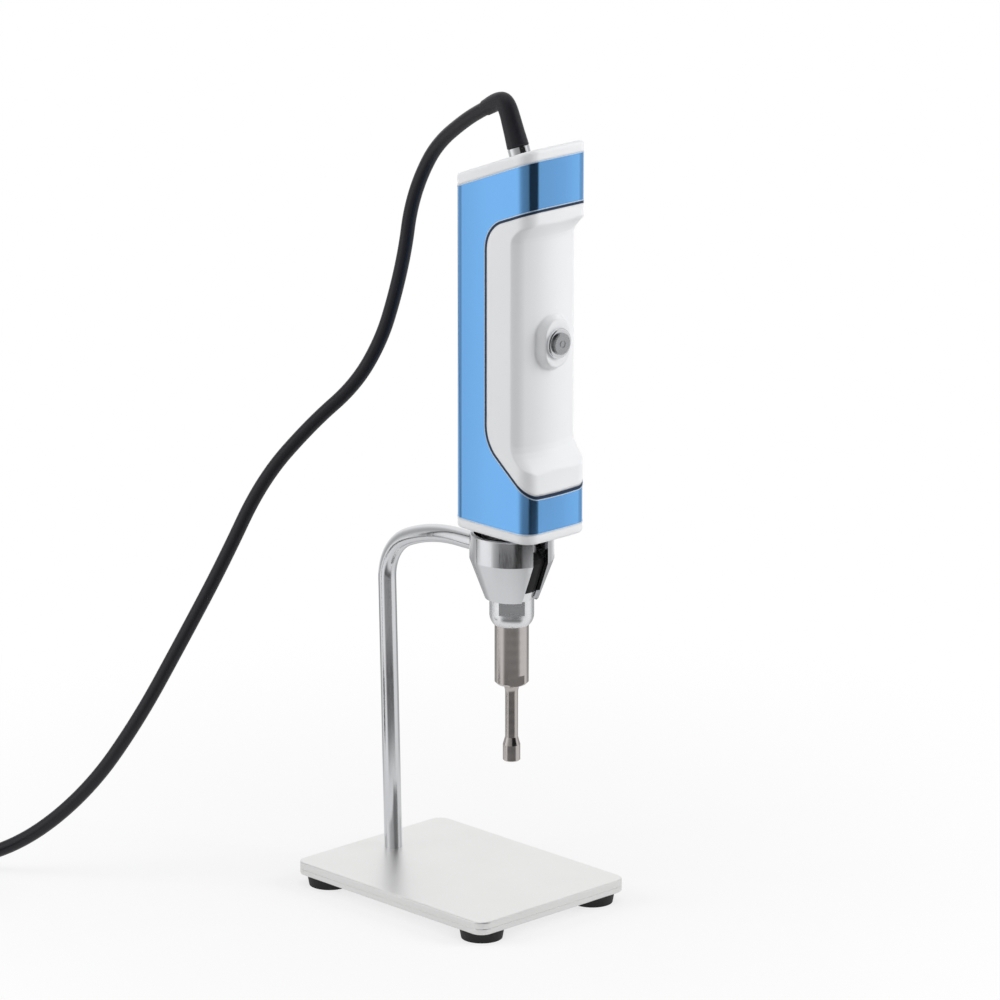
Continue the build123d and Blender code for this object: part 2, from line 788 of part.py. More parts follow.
# Sonotrode: horn with wrench flats, concave shoulder, thin probe and its thicker tip
probe_r = probe_d / 2
tip_r = tip_d / 2
horn_r = horn_d / 2
shoulder_r = horn_r - horn_chamfer
with BuildPart() as sonotrode:
    with BuildSketch(probe_plane):
        with BuildLine():
            Line((0, tip_bottom), (tip_r - tip_edge, tip_bottom))
            Line((tip_r - tip_edge, tip_bottom), (tip_r, tip_bottom + tip_edge))
            Line((tip_r, tip_bottom + tip_edge), (tip_r, tip_bottom + tip_l))
            Line((tip_r, tip_bottom + tip_l), (probe_r, tip_bottom + tip_l + tip_shoulder))
            slim = Line((probe_r, tip_bottom + tip_l + tip_shoulder), (probe_r, horn_bottom - probe_flare_h))
            flare = TangentArc(slim @ 1, (probe_flare_d / 2, horn_bottom), tangent=slim % 1)
            Line(flare @ 1, (shoulder_r, horn_bottom))
            Line((shoulder_r, horn_bottom), (horn_r, horn_bottom + horn_chamfer))
            Line((horn_r, horn_bottom + horn_chamfer), (horn_r, horn_top))
            Line((horn_r, horn_top), (0, horn_top))
            Line((0, horn_top), (0, tip_bottom))
        make_face()
    revolve(axis=probe_axis)
    horn_plane = Plane(origin=(0, axis_y, horn_bottom)).rotated((0, 0, horn_flat_turn))
    with BuildSketch(horn_plane):
        Rectangle(horn_d + 1, horn_d + 1)
        Rectangle(horn_d + 2, horn_flats, mode=Mode.SUBTRACT)
    extrude(amount=horn_flat_h, mode=Mode.SUBTRACT)
    with BuildSketch(Plane(origin=(0, axis_y, horn_top - stud_half))):
        Circle(stud_d / 2 + fit_gap)
    extrude(amount=stud_half, mode=Mode.SUBTRACT)
save(sonotrode.part, "sonotrode")

# Front mass: the stepped booster, held at its flange between two rings in the sleeve's housing
neck_top = horn_top + mass_neck_up
flange_bottom = body_bottom + housing_floor + node_ring_t
flange_top = flange_bottom + node_flange_t
stack_bottom = flange_top + node_ring_t + retainer_h + mass_top_h
with BuildPart() as front_mass:
    outline = upright_outline(
        (stud_d / 2 + fit_gap, horn_top),
        (horn_r, horn_top),
        (horn_r, neck_top),
        (mass_d / 2, neck_top + mass_cone),
        (mass_d / 2, flange_bottom),
        (node_flange_d / 2, flange_bottom),
        (node_flange_d / 2, flange_top),
        (mass_d / 2, flange_top),
        (mass_d / 2, stack_bottom - mass_top_h),
        (mass_top_d / 2, stack_bottom - mass_top_h + 2),
        (mass_top_d / 2, stack_bottom),
        (bolt_d / 2 + fit_gap, stack_bottom),
        (bolt_d / 2 + fit_gap, stack_bottom - bolt_bite),
        (0, stack_bottom - bolt_bite),
        (0, horn_top + stud_half),
        (stud_d / 2 + fit_gap, horn_top + stud_half),
    )
    revolve(outline, axis=probe_axis)
save(front_mass.part, "front_mass")

with BuildPart() as coupling_stud:
    with BuildSketch(Plane(origin=(0, axis_y, horn_top - stud_half))):
        Circle(stud_d / 2)
    extrude(amount=2 * stud_half)
save(coupling_stud.part, "coupling_stud")

with BuildPart() as node_rings:
    for ring_z in (flange_bottom - node_ring_t, flange_top):
        with BuildSketch(Plane(origin=(0, axis_y, ring_z))):
            Circle(housing_bore / 2 - fit_gap)
            Circle(mass_d / 2 + fit_gap, mode=Mode.SUBTRACT)
        extrude(amount=node_ring_t)
save(node_rings.part, "node_rings")

with BuildPart() as retaining_ring:
    with BuildSketch(Plane(origin=(0, axis_y, flange_top + node_ring_t))):
        Circle(housing_bore / 2 - fit_gap)
        Circle(mass_d / 2 + seat_gap, mode=Mode.SUBTRACT)
    extrude(amount=retainer_h)
save(retaining_ring.part, "retaining_ring")

# Piezo rings with an electrode plate on each, drawn together by the bolt through the back mass
stack_step = piezo_t + electrode_t
stack_top = stack_bottom + piezo_count * stack_step
with BuildPart() as piezo_rings:
    for ring in range(piezo_count):
        with BuildSketch(Plane(origin=(0, axis_y, stack_bottom + ring * stack_step))):
            Circle(piezo_d / 2)
            Circle(piezo_bore / 2, mode=Mode.SUBTRACT)
        extrude(amount=piezo_t)
save(piezo_rings.part, "piezo_rings")

with BuildPart() as electrode_plates:
    for ring in range(piezo_count):
        tab_x = tab_side * (1 if ring % 2 else -1)
        with BuildSketch(Plane(origin=(0, axis_y, stack_bottom + ring * stack_step + piezo_t))):
            Circle(electrode_d / 2)
            with Locations((tab_x, 0)):
                Rectangle(tab_w, tab_reach, align=(Align.CENTER, Align.MAX))
            Circle(piezo_bore / 2, mode=Mode.SUBTRACT)
        extrude(amount=electrode_t)
save(electrode_plates.part, "electrode_plates")

back_top = stack_top + back_mass_h
with BuildPart() as back_mass:
    outline = upright_outline(
        (bolt_d / 2 + fit_gap, stack_top),
        (piezo_d / 2, stack_top),
        (piezo_d / 2, back_top - horn_edge),
        (piezo_d / 2 - horn_edge, back_top),
        (bolt_d / 2 + fit_gap, back_top),
    )
    revolve(outline, axis=probe_axis)
save(back_mass.part, "back_mass")

with BuildPart() as preload_bolt:
    outline = upright_outline(
        (0, stack_bottom - bolt_bite),
        (bolt_d / 2, stack_bottom - bolt_bite),
        (bolt_d / 2, back_top),
        (bolt_head_d / 2, back_top),
        (bolt_head_d / 2, back_top + bolt_head_h),
        (0, back_top + bolt_head_h),
    )
    revolve(outline, axis=probe_axis)
    with BuildSketch(Plane(origin=(0, axis_y, back_top + bolt_head_h))):
        RegularPolygon(bolt_d / 2 / math.cos(math.pi / 6) * 0.75, 6)
    extrude(amount=-bolt_head_h / 2, mode=Mode.SUBTRACT)
save(preload_bolt.part, "preload_bolt")

# Driver board in the tube's guides, with its transformer and components on the front face
board_w = body_w - 2 * body_wall - 4 * face_crown
board_y = body_y + board_behind
board_z = body_bottom + board_up
board_face = board_y - board_t / 2
with BuildPart() as circuit_board:
    with BuildSketch(Plane(origin=(0, board_y, board_z))):
        Rectangle(board_w, board_t)
    extrude(amount=board_l)
save(circuit_board.part, "circuit_board")

with BuildPart() as matching_transformer:
    with BuildSketch(Plane(origin=(0, board_face, board_z + core_up), z_dir=(0, -1, 0))):
        Circle(core_d / 2)
        Circle(core_bore / 2, mode=Mode.SUBTRACT)
    extrude(amount=core_t)
    fillet(matching_transformer.edges().filter_by(GeomType.CIRCLE), core_t / 4)
save(matching_transformer.part, "matching_transformer")

with BuildPart() as board_components:
    with BuildSketch(Plane(origin=(0, board_face, board_z + part_up), x_dir=(1, 0, 0), z_dir=(0, -1, 0))):
        with Locations((-part_side, 0), (part_side, 0)):
            Rectangle(part_w, part_h)
    extrude(amount=part_t)
save(board_components.part, "board_components")

# Two leads from the electrode tabs, up past the bolt head and onto the board
lead_y = axis_y - tab_reach + lead_d
lead_z = back_top + bolt_head_h + 2 * lead_d
with BuildPart() as transducer_leads:
    for lead_side in (-1, 1):
        lead_x = lead_side * tab_side
        lead_foot = stack_top - electrode_t - (stack_step if lead_side < 0 else 0) + electrode_t
        with BuildLine() as lead_path:
            FilletPolyline(
                (lead_x, lead_y, lead_foot),
                (lead_x, lead_y, lead_z),
                (lead_x, board_face - lead_d / 2, lead_z),
                (lead_x, board_face - lead_d / 2, board_z + lead_d),
                radius=1.5 * lead_d,
            )
        with BuildSketch(Plane(origin=(lead_x, lead_y, lead_foot))):
            Circle(lead_d / 2)
        sweep(path=lead_path.wire())
save(transducer_leads.part, "transducer_leads")

# Push button: bezel with its barrel, moving button, return spring, switch and nut
well_r = button_d / 2 + running_gap
bore_r = stem_d / 2 + running_gap
with BuildPart() as button_bezel:
    outline = button_outline(
        (well_r, -bezel_t),
        (bezel_d / 2, -bezel_t),
        (bezel_d / 2, 0),
        (barrel_d / 2, 0),
        (barrel_d / 2, barrel_l),
        (bore_r, barrel_l),
        (bore_r, button_well - bezel_t),
        (well_r, button_well - bezel_t),
    )
    revolve(outline, axis=button_axis)
    bezel_rim = button_bezel.edges().filter_by(GeomType.CIRCLE).group_by(Axis.Y)[0].sort_by(SortBy.RADIUS)[-1]
    fillet(bezel_rim, bezel_t / 2)
save(button_bezel.part, "button_bezel")

button_front = -bezel_t - button_proud
with BuildPart() as power_button:
    outline = button_outline(
        (0, button_front),
        (button_d / 2, button_front),
        (button_d / 2, button_front + button_t),
        (stem_d / 2, button_front + button_t),
        (stem_d / 2, button_front + stem_l),
        (0, button_front + stem_l),
    )
    revolve(outline, axis=button_axis)
    fillet(power_button.edges().filter_by(GeomType.CIRCLE).group_by(Axis.Y)[0], button_edge_r)
    with BuildSketch(Plane(origin=(0, pad_front + button_front, button_z), z_dir=(0, -1, 0))):
        Circle(mark_d / 2)
        Circle(mark_d / 2 - mark_w, mode=Mode.SUBTRACT)
    extrude(amount=-mark_depth, mode=Mode.SUBTRACT)
save(power_button.part, "power_button")

spring_front = button_front + button_t + spring_wire / 2 + running_gap
spring_back = button_well - bezel_t - spring_wire / 2 - running_gap
with BuildPart() as button_spring:
    with BuildLine() as spring_path:
        Helix(
            pitch=(spring_back - spring_front) / spring_turns,
            height=spring_back - spring_front,
            radius=spring_d / 2,
            center=(0, pad_front + spring_front, button_z),
            direction=(0, 1, 0),
        )
    with BuildSketch(Plane(origin=spring_path.wire() @ 0, z_dir=spring_path.wire() % 0)):
        Circle(spring_wire / 2)
    sweep(path=spring_path.wire(), is_frenet=True)
save(button_spring.part, "button_spring")

switch_front = barrel_l
with BuildPart() as switch_body:
    outline = button_outline(
        (0, switch_front),
        (switch_d / 2, switch_front),
        (switch_d / 2, switch_front + switch_l),
        (0, switch_front + switch_l),
    )
    revolve(outline, axis=button_axis)
save(switch_body.part, "switch_body")

# The nut draws the pad against the bezel from inside
with BuildPart() as switch_nut:
    with BuildSketch(Plane(origin=(0, pad_front + pad_inside, button_z), z_dir=(0, 1, 0))):
        RegularPolygon(switch_nut_af / math.sqrt(3), 6)
        Circle(barrel_d / 2 + fit_gap, mode=Mode.SUBTRACT)
    extrude(amount=switch_nut_t)
save(switch_nut.part, "switch_nut")

# Cable gland through the top cap, its nut below and the boot above
with BuildPart() as cable_gland:
    with BuildSketch(gland_plane):
        Circle(gland_d / 2)
    extrude(amount=gland_h)
    chamfer(cable_gland.faces().sort_by(Axis(gland_plane.origin, slant_normal))[-1].edges(), horn_edge / 2)
    with BuildSketch(gland_plane):
        Circle(gland_thread_d / 2)
    extrude(amount=-(top_cap_t + gland_nut_t))
save(cable_gland.part, "cable_gland")

with BuildPart() as gland_nut:
    with BuildSketch(gland_plane.offset(-top_cap_t)):
        RegularPolygon(gland_nut_af / math.sqrt(3), 6)
        Circle(gland_thread_d / 2 + fit_gap, mode=Mode.SUBTRACT)
    extrude(amount=-gland_nut_t)
save(gland_nut.part, "gland_nut")

with BuildPart() as cable_boot:
    with BuildSketch(gland_plane.offset(gland_h)):
        Circle(gland_d / 2)
    with BuildSketch(gland_plane.offset(gland_h + boot_l)):
        Circle(boot_tip_d / 2)
    loft()
save(cable_boot.part, "cable_boot")

# Coil: two layers, spiralling in on the floor, up a layer in one half turn and out again
layer_z = connector_ring_d / 2
coil_first = math.radians(coil_start)
coil_last = math.radians(coil_end + 360 * coil_turns)
coil_middle = (coil_first + coil_last) / 2
coil_rate = coil_pitch / (2 * math.pi)
coil_inner_r = coil_mean_d / 2 - coil_rate * (coil_last - coil_first) / 4


def coil_point(angle):
    """Centre of the cord at an angle: the radius falls to the middle turn and grows again."""
    past = angle - coil_middle
    half = math.pi / 2
    blend = past * past / (2 * half) + half / 2 if abs(past) < half else abs(past)
    radius = coil_inner_r + coil_rate * blend
    climb = min(max(past / (2 * half) + 0.5, 0.0), 1.0)
    height = cord_d / 2 + (layer_z - cord_d / 2) * climb * climb * (3 - 2 * climb)
    return Vector(
        coil_centre[0] + radius * math.cos(angle), coil_centre[1] + radius * math.sin(angle), height
    )


def coil_heading(angle):
    """Direction of the cord at an angle, from two points close by."""
    nudge = 1e-4
    return (coil_point(angle + nudge) - coil_point(angle - nudge)).normalized()


def biarc_joint(start, start_dir, end, end_dir):
    """Point where two tangent arcs between the given ends meet, with equal tangent lengths."""
    chord = end - start
    both = start_dir + end_dir
    spread = 2 * (1 - start_dir.dot(end_dir))
    along = chord.dot(both)
    reach_out = (math.sqrt(along * along + spread * chord.dot(chord)) - along) / spread
    return (start + end + (start_dir - end_dir) * reach_out) * 0.5


coil_pieces = round((coil_last - coil_first) / (2 * math.pi) * quarters)
coil_angles = [coil_first + (coil_last - coil_first) * step / coil_pieces for step in range(coil_pieces + 1)]
coil_in = coil_point(coil_first) - coil_heading(coil_first) * cord_d
coil_out = coil_point(coil_last) + coil_heading(coil_last) * coil_lead_out

with BuildPart() as cable_coil:
    with BuildLine() as coil_path:
        Line(coil_in, coil_point(coil_first))
        for angle, next_angle in zip(coil_angles, coil_angles[1:]):
            joint = biarc_joint(
                coil_point(angle), coil_heading(angle), coil_point(next_angle), coil_heading(next_angle)
            )
            first_arc = TangentArc(coil_point(angle), joint, tangent=coil_heading(angle))
            TangentArc(joint, coil_point(next_angle), tangent=first_arc % 1)
        Line(coil_point(coil_last), coil_out)
    with BuildSketch(Plane(origin=coil_in, z_dir=coil_heading(coil_first))):
        Circle(cord_d / 2)
    sweep(path=coil_path.wire())
save(cable_coil.part, "cable_coil")

# Free cable: over the back of the handset and down to the coil, through points chosen by hand
boot_end = gland_plane.origin + slant_normal * (gland_h + boot_l)
cord_route = [
    boot_end,
    boot_end + slant_normal * 6.6,
    (0.0, -20.4, 366.0),
    (0.0, -13.6, 361.2),
    (0.0, -1.0, 352.6),
    (-0.5, 17.9, 339.3),
    (-1.5, 28.6, 324.0),
    (-3.0, 32.8, 307.6),
    (-5.0, 32.0, 290.5),
    (-9.0, 33.0, 270.5),
    (-16.0, 36.0, 250.5),
    (-25.0, 45.5, 231.5),
    (-37.0, 57.0, 212.0),
    (-52.0, 70.0, 184.0),
    (-66.0, 84.0, 149.0),
    (-79.0, 98.0, 112.0),
    (-92.0, 112.0, 76.0),
    (-106.0, 129.0, 43.0),
    (-123.0, 152.0, 17.0),
    coil_in - coil_heading(coil_first) * 29.0,
    coil_in,
]
cord_route = [Vector(point) for point in cord_route]
cord_radii = []
for before, here, after in zip(cord_route, cord_route[1:], cord_route[2:]):
    shorter = min((here - before).length, (after - here).length)
    half_turn = math.radians((here - before).get_angle(after - here)) / 2
    cord_radii.append(0.45 * shorter / math.tan(half_turn))

with BuildPart() as cable_free:
    with BuildLine() as cord_path:
        FilletPolyline(*cord_route, radius=cord_radii)
    with BuildSketch(Plane(origin=boot_end, z_dir=slant_normal)):
        Circle(cord_d / 2)
    sweep(path=cord_path.wire())
save(cable_free.part, "cable_free")

# Connector on the end of the coil: boot, shell, knurled coupling ring, insert and pins
plug_way = Vector(coil_heading(coil_last).X, coil_heading(coil_last).Y, 0).normalized()
plug_plane = Plane(origin=coil_out, z_dir=plug_way)
with BuildPart() as connector_boot:
    with BuildSketch(plug_plane):
        Circle(connector_boot_d / 2)
    with BuildSketch(plug_plane.offset(connector_boot_l)):
        Circle(connector_shell_d / 2 - connector_wall)
    loft()
save(connector_boot.part, "connector_boot")

shell_start = connector_boot_l
ring_start = shell_start + connector_shell_l - connector_ring_over
with BuildPart() as connector_shell:
    with BuildSketch(plug_plane.offset(shell_start)):
        Circle(connector_shell_d / 2)
    extrude(amount=connector_shell_l)
    chamfer(connector_shell.faces().sort_by(Axis(coil_out, plug_way))[0].edges(), connector_wall / 2)
    with BuildSketch(plug_plane.offset(shell_start + connector_shell_l - insert_t)):
        Circle(connector_shell_d / 2 - connector_wall)
    extrude(amount=insert_t, mode=Mode.SUBTRACT)
save(connector_shell.part, "connector_shell")

with BuildPart() as connector_insert:
    with BuildSketch(plug_plane.offset(shell_start + connector_shell_l - insert_t)):
        Circle(connector_shell_d / 2 - connector_wall - fit_gap)
    extrude(amount=insert_t - pin_l)
save(connector_insert.part, "connector_insert")

with BuildPart() as connector_pins:
    with BuildSketch(plug_plane.offset(shell_start + connector_shell_l - pin_l)):
        with PolarLocations(pin_circle_d / 2, pin_count):
            Circle(pin_d / 2)
    extrude(amount=pin_l)
save(connector_pins.part, "connector_pins")

with BuildPart() as coupling_ring:
    with BuildSketch(plug_plane.offset(ring_start)):
        Circle(connector_ring_d / 2)
        Circle(connector_shell_d / 2 + running_gap, mode=Mode.SUBTRACT)
        with PolarLocations(connector_ring_d / 2, knurl_count, start_angle=180 / knurl_count):
            Circle(knurl_d / 2, mode=Mode.SUBTRACT)
    extrude(amount=connector_ring_l)
save(coupling_ring.part, "coupling_ring")

# Cord facts: radii, tube volume against its section and length, and the coil's least gap to itself
section_area = math.pi * cord_d * cord_d / 4
print("cord radii", [round(radius, 1) for radius in cord_radii])
for cord_name, cord_part, cord_line in (
    ("free", cable_free.part, cord_path.wire()),
    ("coil", cable_coil.part, coil_path.wire()),
):
    print(cord_name, "length", round(cord_line.length, 1), "volume ratio",
          round(cord_part.volume / (section_area * cord_line.length), 4))
coil_samples = [coil_path.wire() @ (step / 1200) for step in range(1201)]
apart = round(1200 * math.pi * cord_d / coil_path.wire().length)
least = min(
    (coil_samples[first] - coil_samples[second]).length
    for first in range(0, 1201, 2)
    for second in range(first + apart, 1201, 2)
)
print("coil least gap to itself", round(least - cord_d, 2))
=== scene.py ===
"""Looks of an ultrasonic homogenizer resting in its stand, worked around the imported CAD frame.

Metres, +Z up, floor at z = 0, the push button faces -Y and the rod stands at +Y. Sizes that repeat
the part's own are in millimetres and are named as they are there.
"""

import json
import math

import bmesh
import bpy
import numpy as np
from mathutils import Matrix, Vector


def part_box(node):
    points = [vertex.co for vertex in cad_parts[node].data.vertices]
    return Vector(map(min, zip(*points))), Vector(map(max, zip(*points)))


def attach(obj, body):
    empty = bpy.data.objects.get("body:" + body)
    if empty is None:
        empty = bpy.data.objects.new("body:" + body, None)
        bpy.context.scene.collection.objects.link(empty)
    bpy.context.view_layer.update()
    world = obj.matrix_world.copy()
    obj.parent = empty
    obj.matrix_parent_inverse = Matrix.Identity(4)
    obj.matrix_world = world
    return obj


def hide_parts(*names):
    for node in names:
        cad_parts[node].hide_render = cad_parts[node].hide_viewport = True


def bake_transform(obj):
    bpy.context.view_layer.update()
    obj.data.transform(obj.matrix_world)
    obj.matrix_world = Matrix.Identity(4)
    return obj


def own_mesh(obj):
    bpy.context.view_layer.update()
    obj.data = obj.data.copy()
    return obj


MM = 0.001
MM_PER_METRE = 1000
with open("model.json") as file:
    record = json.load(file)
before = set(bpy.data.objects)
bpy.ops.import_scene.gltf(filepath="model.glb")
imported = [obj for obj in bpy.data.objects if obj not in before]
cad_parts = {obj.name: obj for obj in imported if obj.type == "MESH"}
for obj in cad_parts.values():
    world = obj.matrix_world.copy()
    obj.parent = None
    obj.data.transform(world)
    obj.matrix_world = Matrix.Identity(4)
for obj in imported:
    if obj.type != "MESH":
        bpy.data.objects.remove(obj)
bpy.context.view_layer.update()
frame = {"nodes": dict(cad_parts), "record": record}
nodes = frame["nodes"]
scene = bpy.context.scene

# Sizes of the part, in millimetres, as the solids have them
BODY_Y = -35.75
BODY_W = 38.0
BODY_D = 48.0
BODY_CORNER_R = 7.0
FACE_CROWN = 0.6
BODY_BOTTOM = 181.0
BODY_TOP = 336.8
TOP_SLANT = math.radians(21.4)
TOP_CAP_T = 5.0
TOP_BAND = 21.3
BOTTOM_BAND = 15.3
WINDOW_BEHIND = 2.4
WINDOW_SLOPE_H = 21.6
WINDOW_TOP_R = 15.5
WINDOW_LOW_R = 18.0
GLAND_H = 4.0
BOOT_L = 13.5
BOOT_R = 4.85
CORD_D = 6.2

# Camera at the photograph's angle: 16 degrees above the bench, seen over the left front corner
TARGET = Vector((0.0, -0.00825, 0.180))
VIEW_AZIMUTH = math.radians(-133.9)
VIEW_RISE = math.radians(16.0)
VIEW_DISTANCE = 3.0
VIEW_DEPTH = 50
SENSOR = 36.0
PICTURE_PIXELS = 1000
PIXELS_PER_METRE = 2288.0
PICTURE_SHIFT = (0.024, 0.008)


def direction(azimuth, rise):
    """Unit vector towards an azimuth and a rise above the bench, both in radians."""
    flat = math.cos(rise)
    return Vector((math.cos(azimuth) * flat, math.sin(azimuth) * flat, math.sin(rise)))


towards_camera = direction(VIEW_AZIMUTH, VIEW_RISE)
camera_data = bpy.data.cameras.new("photo_camera")
camera_data.sensor_width = SENSOR
camera_data.lens = SENSOR * PIXELS_PER_METRE * VIEW_DISTANCE / PICTURE_PIXELS
camera_data.shift_x, camera_data.shift_y = PICTURE_SHIFT
camera_data.clip_end = VIEW_DEPTH
camera = bpy.data.objects.new("photo_camera", camera_data)
camera.location = TARGET + towards_camera * VIEW_DISTANCE
camera.rotation_euler = towards_camera.to_track_quat("Z", "Y").to_euler()
scene.collection.objects.link(camera)
scene.camera = camera
scene.view_settings.view_transform = "Standard"

# Mesh making
MERGE_GAP = 1e-5
SHORTEST_EDGE = 1e-6


def piece(name, verts, faces, body, slot=None):
    """New smooth mesh from points in millimetres, which rides on a body. The slot is not used."""
    mesh = bpy.data.meshes.new(name)
    mesh.from_pydata((np.asarray(verts) * MM).tolist(), [], np.asarray(faces).tolist())
    mesh.validate()
    obj = bpy.data.objects.new(name, mesh)
    scene.collection.objects.link(obj)
    merge_and_face_out(mesh)
    mesh.shade_smooth()
    if body:
        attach(obj, body)
    return obj


def merge_and_face_out(mesh):
    """Merge points that lie together, drop faces without area and turn the rest outwards."""
    work = bmesh.new()
    work.from_mesh(mesh)
    bmesh.ops.remove_doubles(work, verts=work.verts, dist=MERGE_GAP)
    bmesh.ops.dissolve_degenerate(work, edges=work.edges, dist=SHORTEST_EDGE)
    bmesh.ops.recalc_face_normals(work, faces=work.faces)
    work.to_mesh(mesh)
    work.free()


def grid_faces(rows, columns, wrap_rows=False):
    """Quads of points stored row by row; each row closes on itself, and the rows do if wrapped."""
    row = np.arange(rows if wrap_rows else rows - 1)[:, None]
    column = np.arange(columns)[None, :]
    next_row = (row + 1) % rows
    next_column = (column + 1) % columns
    corners = [
        row * columns + column,
        row * columns + next_column,
        next_row * columns + next_column,
        next_row * columns + column,
    ]
    return np.stack(np.broadcast_arrays(*corners), axis=-1).reshape(-1, 4)


def turned(outline, segments=96):
    """Surface of revolution round Z: point = (radius * cos a, radius * sin a, height)."""
    radius, height = np.asarray(outline, float).T[:, :, None]
    angle = np.linspace(0, 2 * np.pi, segments, endpoint=False)
    points = np.broadcast_arrays(radius * np.cos(angle), radius * np.sin(angle), height)
    return np.stack(points, axis=-1).reshape(-1, 3), grid_faces(len(outline), segments)


def rings_along(path, radius, normals, binormals, segments):
    """Rings round a path: point = path + radius * (cos a * normal + sin a * binormal)."""
    angle = np.linspace(0, 2 * np.pi, segments, endpoint=False)[None, :, None]
    ring = np.cos(angle) * normals[:, None] + np.sin(angle) * binormals[:, None]
    return path[:, None] + np.broadcast_to(radius, len(path))[:, None, None] * ring


def normals_along(path):
    """Two normals carried along a path, each turned no more than the path turns."""
    tangents = np.gradient(path, axis=0)
    tangents /= np.linalg.norm(tangents, axis=1, keepdims=True)
    normal = np.cross(tangents[0], (1.0, 0.0, 0.0))
    normals = np.empty_like(path)
    for index, tangent in enumerate(tangents):
        normal = normal - tangent * np.dot(normal, tangent)
        normal /= np.linalg.norm(normal)
        normals[index] = normal
    return normals, np.cross(tangents, normals)


def tube(path, radius, segments):
    """Tube round a path, its ends closed by a ring that shrinks to a point."""
    rings = rings_along(path, radius, *normals_along(path), segments)
    start, end = (np.broadcast_to(tip, (1, segments, 3)) for tip in (path[0], path[-1]))
    points = np.concatenate([start, rings, end]).reshape(-1, 3)
    return points, grid_faces(len(path) + 2, segments)


# Materials
WAVE_BANDS = 20


def linear(hex_colour):
    """Linear RGBA of an sRGB hex colour such as "7db9f0"."""
    value = np.array([int(hex_colour[i : i + 2], 16) for i in (0, 2, 4)]) / 255
    value = np.where(value <= 0.04045, value / 12.92, ((value + 0.055) / 1.055) ** 2.4)
    return (*value.tolist(), 1.0)


def add(tree, kind, links=None, **settings):
    """Add a node: settings are its own properties, links set or join inputs by name or number."""
    node = tree.nodes.new(kind)
    for key, value in settings.items():
        setattr(node, key, value)
    for key, value in (links or {}).items():
        if isinstance(value, bpy.types.NodeSocket):
            tree.links.new(value, node.inputs[key])
        else:
            node.inputs[key].default_value = value
    return node


def mix(tree, share, first, second):
    """Colour between two, at that share of the second."""
    links = {0: share, 6: first, 7: second}
    return add(tree, "ShaderNodeMix", links, data_type="RGBA").outputs[2]


def noise(tree, place, size_mm, detail):
    """Noise whose features are about size_mm across."""
    links = {"Vector": place, "Scale": MM_PER_METRE / size_mm, "Detail": detail}
    return add(tree, "ShaderNodeTexNoise", links).outputs["Fac"]


def turning_marks(tree, place, spacing_mm):
    """Wavering rings round Z, spacing_mm apart."""
    links = {
        "Vector": place,
        "Scale": MM_PER_METRE / spacing_mm / WAVE_BANDS,
        "Distortion": 0.6,
        "Detail": 2.0,
        "Detail Scale": 8.0,
    }
    settings = {"wave_type": "BANDS", "bands_direction": "Z"}
    return add(tree, "ShaderNodeTexWave", links, **settings).outputs["Fac"]


def finish(name, colour, metallic=0.0, rough=0.4, rough_spread=0.06, tone=0.05, tone_mm=25.0,
           grain_mm=0.5, grain_depth=0.004, stretch=(1.0, 1.0, 1.0), ring_mm=0.0, soft_mm=0.0,
           **shader):
    """Material of one finish.

    Colour drifts darker by tone over patches of tone_mm. Grain of grain_mm, drawn out by stretch,
    stands grain_depth mm proud and moves the roughness by rough_spread. ring_mm adds turning
    marks, and soft_mm rounds the look of moulded edges.
    """
    material = bpy.data.materials.new(name)
    material.use_nodes = True
    tree = material.node_tree
    surface = tree.nodes["Principled BSDF"]
    place = add(tree, "ShaderNodeTexCoord").outputs["Object"]
    patches = noise(tree, place, tone_mm, 3.0)
    drawn = add(tree, "ShaderNodeMapping", {"Vector": place, "Scale": stretch}).outputs[0]
    height = noise(tree, drawn, grain_mm, 4.0)
    highest = 0.7
    if ring_mm:
        links = {0: height, 1: turning_marks(tree, place, ring_mm)}
        height = add(tree, "ShaderNodeMath", links, operation="ADD").outputs[0]
        highest += 1
    pure = linear(colour)
    darker = (*(channel * (1 - tone) for channel in pure[:3]), 1.0)
    sheen = {
        "Value": height,
        "From Min": 0.3,
        "From Max": highest,
        "To Min": rough - rough_spread,
        "To Max": rough + rough_spread,
    }
    bump = {"Height": height, "Strength": 1.0, "Distance": grain_depth * MM}
    if soft_mm:
        soft = add(tree, "ShaderNodeBevel", {"Radius": soft_mm * MM}, samples=6)
        bump["Normal"] = soft.outputs[0]
    inputs = {
        "Base Color": mix(tree, patches, darker, pure),
        "Roughness": add(tree, "ShaderNodeMapRange", sheen).outputs[0],
        "Normal": add(tree, "ShaderNodeBump", bump).outputs[0],
    }
    for key, output in inputs.items():
        tree.links.new(output, surface.inputs[key])
    surface.inputs["Metallic"].default_value = metallic
    for key, value in shader.items():
        surface.inputs[key.replace("_", " ")].default_value = value
    return material


